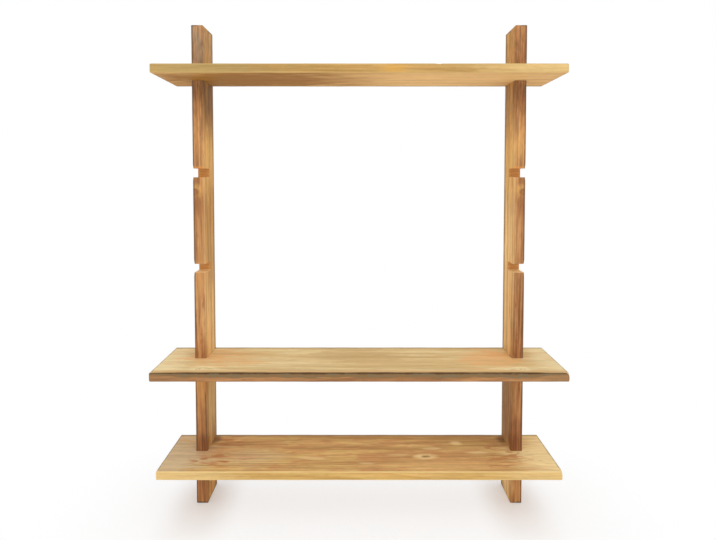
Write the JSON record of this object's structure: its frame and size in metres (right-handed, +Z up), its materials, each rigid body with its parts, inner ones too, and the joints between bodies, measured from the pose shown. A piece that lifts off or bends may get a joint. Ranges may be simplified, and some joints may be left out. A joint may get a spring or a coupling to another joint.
{
  "type": "modular shelving unit",
  "caption": "Knock-down wooden shelving unit: flat uprights with open notches carry boards that slide in from the front on cross-lap joints, the middle board with a waney front edge.",
  "frame": {"origin": "on the floor, below the middle of the unit's box", "axes": "+Z up, +X to the right seen from the front, -Y towards the front, so the uprights' backs face +Y"},
  "size_m": [1.02, 0.26, 1.2508],
  "materials": {
    "upright_wood": "stained and oiled softwood, satin",
    "bottom_shelf_wood": "honey-stained softwood, satin",
    "middle_shelf_wood": "pale honey softwood with a waney edge, satin",
    "top_shelf_wood": "pale honey softwood, satin"
  },
  "bodies": {
    "uprights": {"left_upright": "upright_wood", "right_upright": "upright_wood"},
    "bottom_shelf": {"bottom_shelf": "bottom_shelf_wood"},
    "middle_shelf": {"middle_shelf": "middle_shelf_wood"},
    "top_shelf": {"top_shelf": "top_shelf_wood"}
  },
  "joints": [
    {"name": "bottom_shelf_slide", "type": "slide", "parent": "uprights", "child": "bottom_shelf", "axis": [0, -1, 0], "range_m": [0, 0.15]},
    {"name": "middle_shelf_slide", "type": "slide", "parent": "uprights", "child": "middle_shelf", "axis": [0, -1, 0], "range_m": [0, 0.15]},
    {"name": "top_shelf_slide", "type": "slide", "parent": "uprights", "child": "top_shelf", "axis": [0, -1, 0], "range_m": [0, 0.15]}
  ]
}
